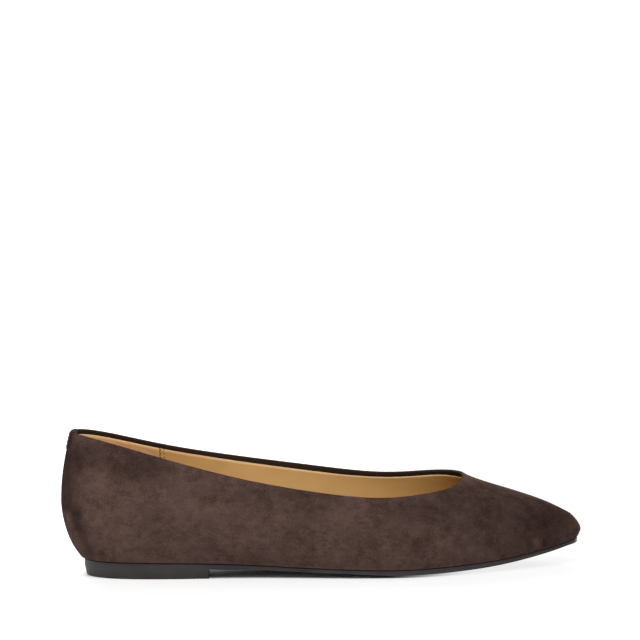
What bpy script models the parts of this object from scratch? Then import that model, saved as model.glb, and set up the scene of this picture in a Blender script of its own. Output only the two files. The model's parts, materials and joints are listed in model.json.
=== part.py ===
"""A pointed ballet flat for the right foot.

A lasted suede upper with a folded topline stands on a thin rubber outsole with a low heel block.
A sock insole lies inside it, and a small tab is folded over the topline at the back seam.
+X runs from the heel to the toe, +Y to the inner side of the foot, and +Z up.
The origin is on the floor, under the middle of the shoe's box.
"""

import math
from collections import namedtuple

import bmesh
import bpy
import numpy as np

MM = 0.001

# Driving dimensions of the last
LENGTH = 258.0 * MM  # upper, back of the heel to the tip of the toe
HALF_BALL = 39.0 * MM  # half the upper's width at the ball
BACK_HEIGHT = 71.0 * MM  # floor to the upper's edge at the back seam

# The sole's outline starts and ends inside the upper's
SOLE_BACK = 11.2 * MM
SOLE_FRONT = LENGTH - 2.3 * MM

# The upper's wall
WALL = 2.0 * MM  # suede with its lining
HEM_WALL = 1.5 * MM  # suede folded on itself, above the lining's edge
HEM_DEPTH = 2.8 * MM
HEM_RISE = 0.6 * MM  # round of the folded edge
LASTING_MARGIN = 7.0 * MM  # turned in under the insole
LASTING_HEEL = 26.0 * MM  # the margin of the heel points to this far from the sole's back
LASTING_TOE = 40.0 * MM  # and that of the toe to this far from its front
TOE_SWING = 4.0 * MM  # of the middle line towards the inner side
DIP_ONSET = 5  # power that keeps the dip near the edge

# Clearance between neighbouring pieces
GAP = 0.3 * MM

# Sock insole
INSOLE_THICK = 2.2 * MM
INSOLE_DISH = 0.8 * MM
INSOLE_CLEAR = 0.4 * MM
INSOLE_FULL_WIDTH = 30.0 * MM  # narrower than this, the dish gets shallower

# Outsole and heel block
SOLE_EDGE = 2.6 * MM
SOLE_TIP_EDGE = 1.5 * MM
SOLE_TIP_START = 0.8  # share of LENGTH where the edge starts to thin
SOLE_PROUD = 0.3 * MM
SOLE_CAMBER = 1.2 * MM  # how far the tread bulges below the sole's edge
CAMBER_START = 105.0 * MM  # from the back, in front of the heel
CAMBER_FULL = 140.0 * MM
HEEL_BREAST = 73.2 * MM  # from the back
HEEL_TAPER = 0.9 * MM
HEEL_BEVEL = 0.7 * MM

# Tab folded over the topline at the back seam
TAB_HALF_WIDTH = 6.5 * MM
TAB_DROP = 8.5 * MM  # down the outside
TAB_THICK = 0.45 * MM

# Sections of the last from the back seam to the toe, at equal steps of half a turn.
# Columns ending in _out are for the outer side of the foot and _in for the inner side.
# sole_, wide_ and top_ are half-widths of the sole's outline, of the widest line and of the
# upper's edge, as shares of HALF_BALL. wide_up and top_up_ are heights, as shares of
# BACK_HEIGHT, above the sole and above the floor. top_along is a share of LENGTH, lean
# says how late a wall turns in above the widest line, and dip how flat it ends at its edge.
# tuck says how straight it runs in below the widest line: 1 is an ellipse.
Section = namedtuple(
    "Section",
    "name sole_out sole_in wide_out wide_in wide_up top_along top_out top_in top_up_out top_up_in "
    "lean dip tuck",
    defaults=(1.0,),
)
SECTIONS = (
    Section("back seam", 0.0, 0.0, 0.0, 0.0, 0.385, 0.0220, 0.0, 0.0, 1.0, 1.0, 2.0, 0.0, 1.25),
    Section("heel corner", 0.385, 0.385, 0.441, 0.436, 0.38, 0.0395, 0.295, 0.295, 0.99, 0.996, 2, 0, 1.25),
    Section("heel side", 0.623, 0.615, 0.708, 0.697, 0.36, 0.099, 0.487, 0.482, 0.940, 0.95, 1.9, 0, 1.1),
    Section("seat", 0.697, 0.672, 0.800, 0.774, 0.310, 0.205, 0.592, 0.588, 0.828, 0.855, 1.9, 0.0),
    Section("waist", 0.733, 0.631, 0.831, 0.728, 0.254, 0.341, 0.682, 0.645, 0.694, 0.764, 2.0, 0.0),
    Section("instep", 0.872, 0.697, 0.944, 0.785, 0.211, 0.484, 0.775, 0.690, 0.596, 0.686, 2.0, 0.0),
    Section("ball", 0.923, 0.851, 1.026, 0.954, 0.183, 0.612, 0.821, 0.758, 0.549, 0.629, 2.0, 0.0),
    Section("vamp", 0.654, 0.774, 0.769, 0.887, 0.141, 0.702, 0.738, 0.725, 0.569, 0.635, 1.9, 0.3),
    Section("toe box", 0.308, 0.564, 0.390, 0.631, 0.100, 0.750, 0.513, 0.585, 0.594, 0.645, 1.74, 0.8),
    Section("toe corner", 0.044, 0.359, 0.072, 0.390, 0.080, 0.7725, 0.167, 0.346, 0.626, 0.648, 1.70, 1.0),
    Section("toe tip", -0.167, 0.167, -0.167, 0.167, 0.077, 0.777, -0.103, 0.103, 0.644, 0.644, 1.70, 1.0),
)

# Height of the sole's upper face along the shoe, at shares of LENGTH
SoleLine = namedtuple("SoleLine", "along height")
SOLE_LINE = (
    SoleLine(0.00, 8.0 * MM),
    SoleLine(0.15, 7.9 * MM),
    SoleLine(0.27, 7.4 * MM),
    SoleLine(0.365, 6.4 * MM),
    SoleLine(0.46, 5.1 * MM),
    SoleLine(0.56, 4.1 * MM),
    SoleLine(0.63, 3.7 * MM),
    SoleLine(0.70, 3.8 * MM),
    SoleLine(0.77, 4.5 * MM),
    SoleLine(0.85, 5.9 * MM),
    SoleLine(0.925, 8.7 * MM),
    SoleLine(1.00, 12.8 * MM),
)

# Mesh density and finish
RING = 100  # ribs round the upper
TUCK_STEPS = 5  # from the sole up to the widest line
WALL_STEPS = 9  # from the widest line up to the hem
RIB_SAMPLES = 60
ACROSS = 8  # columns across the sole and the insole
SOLE_STATIONS = 48
HEEL_STATIONS = 16
TAB_COLUMNS = 6
TAB_ROWS = 4
TANGENT_STEP = 0.0005  # share of a turn
MERGE = 0.002 * MM
SHARP_EDGE = math.radians(35)


def ring_spline(knots, turn):
    """A smooth closed line through evenly spaced knots, read at shares of a turn."""
    knots = np.asarray(knots, float)
    count = len(knots)
    system = 4.0 * np.eye(count)
    system += np.roll(np.eye(count), 1, axis=0) + np.roll(np.eye(count), -1, axis=0)
    second = np.roll(knots, 1) - 2.0 * knots + np.roll(knots, -1)
    bend = np.linalg.solve(system, 6.0 * second)
    place = np.mod(np.asarray(turn, float), 1.0) * count
    low = np.floor(place).astype(int) % count
    high = (low + 1) % count
    after = place - np.floor(place)
    before = 1.0 - after
    straight = before * knots[low] + after * knots[high]
    curve = (before**3 - before) * bend[low] + (after**3 - after) * bend[high]
    return straight + curve / 6.0


def column(name):
    return [getattr(section, name) for section in SECTIONS]


def round_the_shoe(outer, inner):
    """Knots of a closed line: along the outer side from the back seam, and back along the inner."""
    return list(outer) + list(inner)[-2:0:-1]


def across(stem, turn):
    """Sideways place of a line round the shoe, from its _out and _in columns."""
    outer = [-share for share in column(stem + "_out")]
    return HALF_BALL * ring_spline(round_the_shoe(outer, column(stem + "_in")), turn)


def even(name, turn):
    """A column that is the same on both sides of the shoe."""
    return ring_spline(round_the_shoe(column(name), column(name)), turn)


def along(back, front, turn):
    return back + (front - back) * (1.0 - np.cos(2.0 * math.pi * np.asarray(turn))) / 2.0


def sole_top(x):
    """Height of the sole's upper face, a smooth line through SOLE_LINE."""
    xs = np.array([row.along * LENGTH for row in SOLE_LINE])
    zs = np.array([row.height for row in SOLE_LINE])
    slopes = np.gradient(zs, xs)
    x = np.clip(np.asarray(x, float), xs[0], xs[-1])
    low = np.clip(np.searchsorted(xs, x) - 1, 0, len(xs) - 2)
    span = xs[low + 1] - xs[low]
    t = (x - xs[low]) / span
    return (
        (2 * t**3 - 3 * t**2 + 1) * zs[low]
        + (t**3 - 2 * t**2 + t) * span * slopes[low]
        + (3 * t**2 - 2 * t**3) * zs[low + 1]
        + (t**3 - t**2) * span * slopes[low + 1]
    )


def sole_edge_low(x):
    """Height of the lower corner of the outsole's edge, which thins towards the toe."""
    toe = np.clip((np.asarray(x) / LENGTH - SOLE_TIP_START) / (1.0 - SOLE_TIP_START), 0.0, 1.0)
    return sole_top(x) - SOLE_EDGE + (SOLE_EDGE - SOLE_TIP_EDGE) * toe


def feather_line(turn):
    """The line where the upper turns under, just above the sole's outline."""
    x = along(SOLE_BACK, SOLE_FRONT, turn)
    return np.stack([x, across("sole", turn), sole_top(x) + GAP], axis=-1)


def widest_line(turn):
    x = along(0.0, LENGTH, turn)
    z = feather_line(turn)[..., 2] + BACK_HEIGHT * even("wide_up", turn)
    return np.stack([x, across("wide", turn), z], axis=-1)


def upper_edge(turn):
    up = round_the_shoe(column("top_up_out"), column("top_up_in"))
    z = BACK_HEIGHT * ring_spline(up, turn)
    return np.stack([LENGTH * even("top_along", turn), across("top", turn), z], axis=-1)


def lasting_edge(feather):
    """Inner edge of the margin that is turned in under the insole."""
    ends = [SOLE_BACK + LASTING_HEEL, SOLE_FRONT - LASTING_TOE]
    x = np.clip(feather[:, 0], *ends)
    middle = np.interp(x, ends, [0.0, TOE_SWING])
    inward = np.stack([x, middle], axis=-1) - feather[:, :2]
    inward /= np.linalg.norm(inward, axis=1, keepdims=True)
    edge = feather.copy()
    edge[:, :2] += LASTING_MARGIN * inward
    edge[:, 2] = sole_top(edge[:, 0]) + GAP
    return edge


def wall_rows(widest, top, lean, dip):
    """Rows of the wall above the widest line: even steps up to the hem, then the upper's edge."""
    rise = np.linspace(0.0, 1.0, RIB_SAMPLES)[:, None] + 0.0 * lean
    turned_in = rise**lean + dip * rise**DIP_ONSET * (1.0 - rise)
    line = widest + (top - widest) * np.stack([turned_in, turned_in, rise], axis=-1)
    steps = np.linalg.norm(np.diff(line, axis=0), axis=2)
    run = np.concatenate([np.zeros((1, len(lean))), np.cumsum(steps, axis=0)])
    wanted = [share * (run[-1] - HEM_DEPTH) for share in np.linspace(0.0, 1.0, WALL_STEPS + 1)]
    wanted = np.array(wanted + [run[-1]])
    rows = np.empty((len(wanted), len(lean), 3))
    for rib in range(len(lean)):
        for axis in range(3):
            rows[:, rib, axis] = np.interp(wanted[:, rib], run[:, rib], line[:, rib, axis])
    return rows


def outer_skin(turn):
    """Rows of the upper's outer face: the turned-in edge, the tuck and the wall."""
    feather = feather_line(turn)
    widest = widest_line(turn)
    rows = [lasting_edge(feather)]
    tuck = even("tuck", turn)
    for angle in np.linspace(0.0, math.pi / 2, TUCK_STEPS + 1)[:-1]:
        out = math.sin(angle) ** tuck
        up = 1.0 - math.cos(angle) ** tuck
        rows.append(feather + (widest - feather) * np.stack([out, out, up], axis=-1))
    rows.extend(wall_rows(widest, upper_edge(turn), even("lean", turn), even("dip", turn)))
    return np.array(rows)


def outward(skin):
    """Unit normals of a skin of closed rows."""
    round_way = np.roll(skin, -1, axis=1) - np.roll(skin, 1, axis=1)
    normal = np.cross(round_way, np.gradient(skin, axis=0))
    return normal / np.linalg.norm(normal, axis=2, keepdims=True)


def folded_edge(skin, normal):
    """The crest of the folded edge and its two inner rows, with their normals."""
    hem = skin[-2:] - HEM_WALL * normal[-2:]
    up_way = skin[-1] - skin[-2]
    up_way /= np.linalg.norm(up_way, axis=1, keepdims=True)
    crest = (skin[-1] + hem[-1]) / 2 + HEM_RISE * up_way
    return np.array([crest, hem[1], hem[0]]), np.array([up_way, -normal[-1], -normal[-2]])


def inner_wall_at(height):
    """The upper's inner wall at a height above the feather line, all round."""
    turn = np.arange(RING) / RING
    skin = outer_skin(turn)
    inside = (skin - WALL * outward(skin))[1:]
    level = feather_line(turn)[:, 2] + height
    line = np.empty((RING, 3))
    for rib in range(RING):
        for axis in range(3):
            line[rib, axis] = np.interp(level[rib], inside[:, rib, 2], inside[:, rib, axis])
    return line


def plan_normal(tangent):
    """Outward direction in plan of a line that runs round the shoe."""
    normal = np.stack([tangent[:, 1], -tangent[:, 0]], axis=-1)
    return normal / np.linalg.norm(normal, axis=1, keepdims=True)


def join_rows(mesh, rows, closed=False):
    """Quads between neighbouring rows of points; closed joins last to first both ways."""
    grid = [[mesh.verts.new(point) for point in row] for row in rows]
    short = 0 if closed else 1
    for i in range(len(grid) - short):
        low, high = grid[i], grid[(i + 1) % len(grid)]
        for k in range(len(low) - short):
            after = (k + 1) % len(low)
            mesh.faces.new((low[k], low[after], high[after], high[k]))


def between(first, last, count):
    """Lines spaced evenly from one line of points to another."""
    return [first + share * (last - first) for share in np.linspace(0.0, 1.0, count + 1)]


def finish(name, mesh, colour, roughness):
    """Makes the object of a closed bmesh, with its own material, smooth between sharp edges."""
    bmesh.ops.remove_doubles(mesh, verts=mesh.verts, dist=MERGE)
    bmesh.ops.dissolve_degenerate(mesh, edges=mesh.edges, dist=MERGE)
    bmesh.ops.recalc_face_normals(mesh, faces=mesh.faces)
    data = bpy.data.meshes.new(name)
    mesh.to_mesh(data)
    mesh.free()
    data.shade_smooth()
    data.set_sharp_from_angle(angle=SHARP_EDGE)
    material = bpy.data.materials.new(name)
    material.use_nodes = True
    shader = material.node_tree.nodes["Principled BSDF"]
    shader.inputs["Base Color"].default_value = (*colour, 1.0)
    shader.inputs["Roughness"].default_value = roughness
    shader.inputs["Metallic"].default_value = 0.0
    data.materials.append(material)
    made = bpy.data.objects.new(name, data)
    bpy.context.scene.collection.objects.link(made)
    return made


SUEDE = {"colour": (0.083, 0.052, 0.043), "roughness": 0.95}
RUBBER = {"colour": (0.047, 0.041, 0.039), "roughness": 0.55}
TAN_LEATHER = {"colour": (0.42, 0.25, 0.10), "roughness": 0.6}


def make_upper():
    """One hollow wall: up the outside, over the folded edge and down the inside."""
    skin = outer_skin(np.arange(RING) / RING)
    normal = outward(skin)
    edge_rows, _ = folded_edge(skin, normal)
    inside = skin - WALL * normal
    mesh = bmesh.new()
    join_rows(mesh, [*skin, *edge_rows, *inside[-2::-1]], closed=True)
    return finish("upper", mesh, **SUEDE)


def sole_sides(stations):
    """Outer and inner outline of the sole at each station, each with its outward direction."""
    sides = []
    for turn in (stations, 1.0 - stations):
        tangent = feather_line(turn + TANGENT_STEP) - feather_line(turn - TANGENT_STEP)
        sides.append((feather_line(turn)[:, :2], plan_normal(tangent)))
    return sides


def side_line(side, out, height):
    """One line along a side of the sole, moved outward and set at its height."""
    plan, normal = side
    place = plan + np.asarray(out)[..., None] * normal
    return np.column_stack([place, np.broadcast_to(height, len(plan))])


def make_outsole():
    """The thin outsole, with its arch and toe spring, a cambered tread and a flat spot at the ball."""
    stations = np.linspace(0.0, 0.5, SOLE_STATIONS + 1)
    x = along(SOLE_BACK, SOLE_FRONT, stations)
    outer, inner = sole_sides(stations)
    top = [side_line(side, SOLE_PROUD, sole_top(x)) for side in (outer, inner)]
    low = [side_line(side, SOLE_PROUD, sole_edge_low(x)) for side in (outer, inner)]
    mesh = bmesh.new()
    join_rows(mesh, [top[0], low[0]])
    join_rows(mesh, [top[1], low[1]])
    join_rows(mesh, between(*top, ACROSS))
    tread = between(*low, ACROSS)
    width = np.linalg.norm(low[1] - low[0], axis=1)
    camber = SOLE_CAMBER * width / width.max()
    camber *= np.clip((x - CAMBER_START) / (CAMBER_FULL - CAMBER_START), 0.0, 1.0)
    for line, share in zip(tread, np.linspace(-1.0, 1.0, ACROSS + 1)):
        line[:, 2] = np.maximum(line[:, 2] - camber * (1.0 - abs(share) ** 3), 0.0)
    join_rows(mesh, tread)
    return finish("outsole", mesh, **RUBBER)


def make_heel():
    """The low heel block under the outsole, flush with its edge, with a straight breast."""
    breast = math.acos(1.0 - 2.0 * (HEEL_BREAST - SOLE_BACK) / (SOLE_FRONT - SOLE_BACK)) / (2 * math.pi)
    stations = np.linspace(0.0, breast, HEEL_STATIONS + 1)
    x = along(SOLE_BACK, SOLE_FRONT, stations)
    levels = (
        (SOLE_PROUD, sole_edge_low(x) - GAP),
        (SOLE_PROUD - HEEL_TAPER, HEEL_BEVEL),
        (SOLE_PROUD - HEEL_TAPER - HEEL_BEVEL, 0.0),
    )
    outer, inner = sole_sides(stations)
    outer_lines = [side_line(outer, out, height) for out, height in levels]
    inner_lines = [side_line(inner, out, height) for out, height in levels]
    seat = between(outer_lines[0], inner_lines[0], ACROSS)
    tread = between(outer_lines[-1], inner_lines[-1], ACROSS)
    mesh = bmesh.new()
    join_rows(mesh, outer_lines)
    join_rows(mesh, inner_lines)
    join_rows(mesh, seat)
    join_rows(mesh, tread)
    front = [line[-1] for line in [*seat, inner_lines[1], *tread[::-1], outer_lines[1]]]
    mesh.faces.new([mesh.verts.new(point) for point in front])
    return finish("heel", mesh, **RUBBER)


def make_insole():
    """The sock insole, fitted to the inner wall, a little dished."""
    under = WALL + GAP
    rims = []
    for height in (under, under + INSOLE_THICK):
        line = inner_wall_at(height)
        tangent = np.roll(line, -1, axis=0) - np.roll(line, 1, axis=0)
        line[:, :2] -= INSOLE_CLEAR * plan_normal(tangent)
        rims.append(line)
    half = np.arange(RING // 2 + 1)
    outer_rims = [rim[half] for rim in rims]
    inner_rims = [rim[-half] for rim in rims]
    mesh = bmesh.new()
    join_rows(mesh, outer_rims)
    join_rows(mesh, inner_rims)
    join_rows(mesh, between(outer_rims[0], inner_rims[0], ACROSS))
    sock = between(outer_rims[1], inner_rims[1], ACROSS)
    width = np.linalg.norm(inner_rims[1] - outer_rims[1], axis=1)
    dish = INSOLE_DISH * np.minimum(width / INSOLE_FULL_WIDTH, 1.0)
    for line, share in zip(sock, np.linspace(-1.0, 1.0, ACROSS + 1)):
        line[:, 2] -= dish * (1.0 - share**2)
    join_rows(mesh, sock)
    return finish("insole", mesh, **TAN_LEATHER)


def make_back_tab():
    """The tab over the back seam, cut between two offsets of the upper's own skin."""
    fine = 4 * RING
    skin = outer_skin(np.arange(fine) / fine)
    normal = outward(skin)
    edge_rows, edge_normal = folded_edge(skin, normal)
    # Rows of the outer face from the tab's lower end up to the edge
    seam_run = np.linalg.norm(np.diff(skin[:, 0], axis=0), axis=1)
    from_edge = np.append(np.cumsum(seam_run[::-1])[::-1], 0.0)
    drops = np.linspace(TAB_DROP, 0.0, TAB_ROWS + 1)
    places = np.interp(-drops, -from_edge, np.arange(len(skin)))
    rows, normals = [], []
    for place in places:
        low = min(int(place), len(skin) - 2)
        share = place - low
        rows.append(skin[low] + share * (skin[low + 1] - skin[low]))
        normals.append(normal[low] + share * (normal[low + 1] - normal[low]))
    rows = np.concatenate([rows, edge_rows])
    normals = np.concatenate([normals, edge_normal])
    centred = np.roll(np.arange(fine), fine // 2)
    reach = np.linspace(-TAB_HALF_WIDTH, TAB_HALF_WIDTH, TAB_COLUMNS + 1)

    def layer(distance):
        lines = []
        for line in (rows + distance * normals)[:, centred]:
            run = np.append(0.0, np.cumsum(np.linalg.norm(np.diff(line, axis=0), axis=1)))
            run -= run[fine // 2]
            lines.append(np.column_stack([np.interp(reach, run, line[:, axis]) for axis in range(3)]))
        return np.array(lines)

    under, over = layer(GAP), layer(GAP + TAB_THICK)
    mesh = bmesh.new()
    join_rows(mesh, under)
    join_rows(mesh, over)
    for end in (0, -1):
        join_rows(mesh, [under[end], over[end]])
        join_rows(mesh, [under[:, end], over[:, end]])
    return finish("back_tab", mesh, **SUEDE)


def stand_on_origin(pieces):
    """Parents the pieces to an empty that puts the middle of their box over the origin."""
    corners = np.array([vertex.co for piece in pieces for vertex in piece.data.vertices])
    low, high = corners.min(axis=0), corners.max(axis=0)
    stand = bpy.data.objects.new("ballet_flat", None)
    bpy.context.scene.collection.objects.link(stand)
    stand.location = (-(low[0] + high[0]) / 2, -(low[1] + high[1]) / 2, -low[2])
    for piece in pieces:
        piece.parent = stand


def main():
    for old in list(bpy.data.objects):
        bpy.data.objects.remove(old)
    stand_on_origin([make_outsole(), make_heel(), make_upper(), make_insole(), make_back_tab()])


main()
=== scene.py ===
"""Looks of a pointed suede ballet flat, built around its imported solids.

The suede upper, its lining, the heel grip, the sock, the outsole, the heel and the back tab start
from copies of the solids and keep their form. Stitches, seams, creases and finishes are added.
+X runs from the heel to the toe, +Y to the inner side of the foot, and +Z up. Lengths are in metres.
"""

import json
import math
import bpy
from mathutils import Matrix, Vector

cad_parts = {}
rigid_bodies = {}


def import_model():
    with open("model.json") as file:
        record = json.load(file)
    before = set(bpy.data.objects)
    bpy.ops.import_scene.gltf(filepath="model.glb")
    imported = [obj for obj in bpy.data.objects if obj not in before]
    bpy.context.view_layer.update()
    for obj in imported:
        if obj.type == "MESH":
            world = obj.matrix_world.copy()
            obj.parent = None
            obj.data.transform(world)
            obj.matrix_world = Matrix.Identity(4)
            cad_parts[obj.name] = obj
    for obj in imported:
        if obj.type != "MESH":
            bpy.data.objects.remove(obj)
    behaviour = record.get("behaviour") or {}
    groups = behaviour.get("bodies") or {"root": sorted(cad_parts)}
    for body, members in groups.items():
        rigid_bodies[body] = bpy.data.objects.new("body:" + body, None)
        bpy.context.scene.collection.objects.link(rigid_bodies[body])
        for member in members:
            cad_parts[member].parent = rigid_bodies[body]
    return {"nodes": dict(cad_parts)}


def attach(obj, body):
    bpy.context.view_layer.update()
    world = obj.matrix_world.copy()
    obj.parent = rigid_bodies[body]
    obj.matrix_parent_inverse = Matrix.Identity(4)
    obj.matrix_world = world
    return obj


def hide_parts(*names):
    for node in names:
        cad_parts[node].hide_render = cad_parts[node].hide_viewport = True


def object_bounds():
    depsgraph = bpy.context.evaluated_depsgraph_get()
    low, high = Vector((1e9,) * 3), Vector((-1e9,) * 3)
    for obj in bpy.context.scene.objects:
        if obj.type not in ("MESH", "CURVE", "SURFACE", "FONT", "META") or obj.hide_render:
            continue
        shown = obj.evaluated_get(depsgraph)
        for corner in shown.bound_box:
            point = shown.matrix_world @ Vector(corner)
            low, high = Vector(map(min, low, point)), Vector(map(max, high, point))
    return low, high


bl_info = {
    "name": "Ballet Flat",
    "version": (1, 0, 0),
    "blender": (4, 5, 0),
    "location": "3D View > Sidebar > Ballet Flat",
    "description": "Builds the looks of a pointed suede ballet flat around its packed solids",
    "category": "Add Mesh",
}

from collections import namedtuple
from contextlib import contextmanager

import bmesh
import bpy
import numpy as np
from bpy.props import FloatProperty, FloatVectorProperty, PointerProperty
from mathutils import Matrix, Vector

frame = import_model()
CAD_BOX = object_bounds()

MM = 0.001
HEEL_X = CAD_BOX[0].x  # back of the heel, from which places along the shoe are measured

# Rows of the upper's wall, from the folded edge down the outside and up the inside
CREST = 0
OUTER_LOW = 17  # edge of the margin turned in on the sole
INNER_LOW = 18
INNER_TOP = 33  # the lining's upper edge
HEM_INSIDE = (34, 35)

MERGE = 0.001 * MM
SMOOTH_LEVELS = 2
FIT_ROUNDS = 4
FAR_FROM_SEAM = 9 * MM  # stands for any place that the line of the back seam does not reach

# Soft troughs and ridges of the suede. The path is in millimetres from the heel's back and from
# the floor, the width is the distance at which a mark has faded, a depth below zero is a trough,
# and the shade is the painted light or, below zero, the painted shade along it.
Relief = namedtuple("Relief", "name side path width depth shade")
OUTER, INNER = -1, 1
SIDE_FADE = 3.0  # how fast a mark ends where the wall turns to the other side
MARK_FADE = 2.5  # how fast it fades beside its path
RELIEFS = (
    Relief("heel crease", OUTER, ((9.2, 31), (9.4, 27), (11.2, 21), (14.2, 13)), 6.0, -0.5, -0.55),
    Relief("roll behind it", OUTER, ((3.6, 31), (5.6, 23), (9.6, 15.5)), 3.2, 0.4, 0.35),
    Relief("counter dent", OUTER, ((2.6, 34.8), (8.6, 35.4)), 4.5, -0.35, -0.25),
    Relief("seat dent", OUTER, ((20.2, 13.4), (21.6, 12.2)), 2.4, -0.3, -0.5),
    Relief("seat fold", OUTER, ((38, 14), (45, 13)), 4.0, -0.2, -0.25),
    Relief("waist pucker", OUTER, ((101.6, 9.8), (104.2, 7.6)), 1.6, -0.22, -0.3),
    Relief("toe pleat", OUTER, ((238.4, 12.6), (239.2, 11)), 1.6, -0.15, -0.3),
    Relief("toe facet", OUTER, ((235, 13.6), (236.4, 11.8)), 3.2, 0.12, 0.32),
    Relief("heel crease", INNER, ((11, 27), (12.4, 21), (15, 15)), 2.6, -0.3, -0.3),
    Relief("counter dent", INNER, ((4, 37), (9, 36)), 4.0, -0.25, -0.2),
)

# Places where the suede looks lighter (amount above zero) or darker, in the same millimetres: partly
# the nap standing up or lying flat and partly painted light and shade, such as the painted shade
# on the toe, the vamp, the back of the heel and under the topline, collar and throat
NapAndShadePatch = namedtuple("NapAndShadePatch", "name along up wide high amount")
NAP_AND_SHADE_PATCHES = (
    NapAndShadePatch("toe", 244, 22, 24, 20, -0.72),
    NapAndShadePatch("vamp", 206, 30, 26, 18, -0.33),
    NapAndShadePatch("crest of the vamp", 211, 42, 18, 7, -0.25),
    NapAndShadePatch("low vamp", 214, 12, 20, 9, -0.15),
    NapAndShadePatch("under the throat", 174, 33, 26, 9, -0.42),
    NapAndShadePatch("under the topline", 112, 42, 30, 8, -0.45),
    NapAndShadePatch("under the collar", 40, 60, 26, 9, -0.35),
    NapAndShadePatch("waist", 120, 16, 50, 14, -0.22),
    NapAndShadePatch("ball", 165, 14, 30, 10, -0.12),
    NapAndShadePatch("back of the heel", 0, 48, 11, 26, -0.7),
    NapAndShadePatch("upper quarter", 42, 54, 15, 7, -0.4),
    NapAndShadePatch("counter", 22, 46, 12, 6, 0.15),
    NapAndShadePatch("beside the tab", 13, 61, 14, 9, -0.35),
    NapAndShadePatch("quarter", 77, 33, 13, 8, 0.35),
    NapAndShadePatch("lower quarter", 45, 15, 14, 4, 0.2),
    NapAndShadePatch("above the seat", 58, 21, 8, 5, -0.25),
    NapAndShadePatch("seat", 20, 22, 8, 7, 0.2),
    NapAndShadePatch("above the arch", 73, 15, 12, 5, -0.2),
)
INNER_NAP_AND_SHADE = 0.4  # share of these amounts on the inner side, which is more even
INNER_TURN = 0.6  # sideways part of the normal where that share is reached


def colour_property(name, description, default):
    return FloatVectorProperty(
        name=name, description=description, subtype="COLOR", size=3, min=0.0, max=1.0, default=default
    )


def length_property(name, description, default):
    return FloatProperty(name=name, description=description, unit="LENGTH", min=0.0, default=default)


def share_property(name, description, default):
    return FloatProperty(
        name=name, description=description, subtype="FACTOR", min=0.0, max=1.0, default=default
    )


def light_property(name, description, default):
    return FloatProperty(name=name, description=description, min=0.0, default=default)


def angle_property(name, description, degrees):
    return FloatProperty(
        name=name, description=description, subtype="ANGLE", default=math.radians(degrees)
    )


class SuedeSettings(bpy.types.PropertyGroup):
    """Colours and sizes of the suede"""

    # The raised colour also serves as the painted light, and the flat colour as the painted shade
    raised: colour_property("Raised nap", "Colour where the nap stands up", (0.084, 0.0525, 0.043))
    pressed: colour_property("Pressed nap", "Colour between the nap's tufts", (0.036, 0.020, 0.0162))
    flat: colour_property("Flat nap", "Colour where the nap lies flat", (0.019, 0.011, 0.0095))
    mauve: colour_property("Mauve cast", "Cooler colour of some patches", (0.064, 0.039, 0.0365))
    # Painted shade inside the folded topline; the back seam's dark line takes this colour too
    fold: colour_property("Folded edge", "Colour inside the folded topline", (0.025, 0.0175, 0.0125))
    speck: colour_property("Specks", "Colour of the sparse pale fibres", (0.20, 0.145, 0.12))
    share: share_property("Suede share", "Share of the wall that is suede", 0.62)
    mottle: length_property("Mottle", "Size of the soft patches", 15 * MM)
    tuft: length_property("Tufts", "Size of the small clouds in the nap", 4.5 * MM)
    fibre: length_property("Fibres", "Length of the nap's fibres", 1.8 * MM)
    grain: length_property("Grain", "Size of the nap's finest grain", 0.6 * MM)
    nose: length_property("Nose", "Reach of the rounding at the tip of the toe", 9 * MM)
    nose_tilt: share_property("Nose tilt", "How far the toe's tip leans forward as it rises", 0.13)
    tab_thick: length_property("Tab", "How far the back tab stands proud", 0.48 * MM)
    tab_swell: length_property("Tab swell", "How much further it stands proud at the top", 0.5 * MM)
    seam_width: length_property("Back seam", "Width of the trough of the back seam", 0.9 * MM)
    seam_depth: length_property("Back seam depth", "Depth of the trough of the back seam", 0.4 * MM)


class LiningSettings(bpy.types.PropertyGroup):
    """Colours and sizes of the lining and the sock"""

    leather: colour_property("Lining leather", "Colour of the smooth lining", (0.535, 0.343, 0.137))
    # Painted shade of the lining deep in the throat, from the throat start to the throat end
    throat: colour_property("Throat", "Colour of the lining deep in the throat", (0.35, 0.195, 0.058))
    throat_start: length_property("Throat start", "Where it starts to darken, from the heel", 160 * MM)
    throat_full: length_property("Throat end", "Where it is darkest, from the heel", 205 * MM)
    grip: colour_property("Heel grip", "Colour of the napped lining at the heel", (0.69, 0.43, 0.215))
    rim: colour_property("Cut edge", "Colour of the lining's cut upper edge", (0.70, 0.47, 0.24))
    sock: colour_property("Sock", "Colour of the sock insole", (0.46, 0.265, 0.095))
    thickness: length_property("Thickness", "Thickness of the lining", 0.5 * MM)
    grip_rise: length_property("Grip rise", "How far the heel grip stands proud of the lining", 0.2 * MM)
    seam_along: length_property("Grip seam", "Distance of the heel grip's seam from the back", 48.6 * MM)
    seam_gap: length_property("Seam gap", "Gap between the lining and the heel grip", 0.3 * MM)
    rim_height: length_property("Cut edge height", "Height of the pale band at the upper edge", 0.8 * MM)


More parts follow.
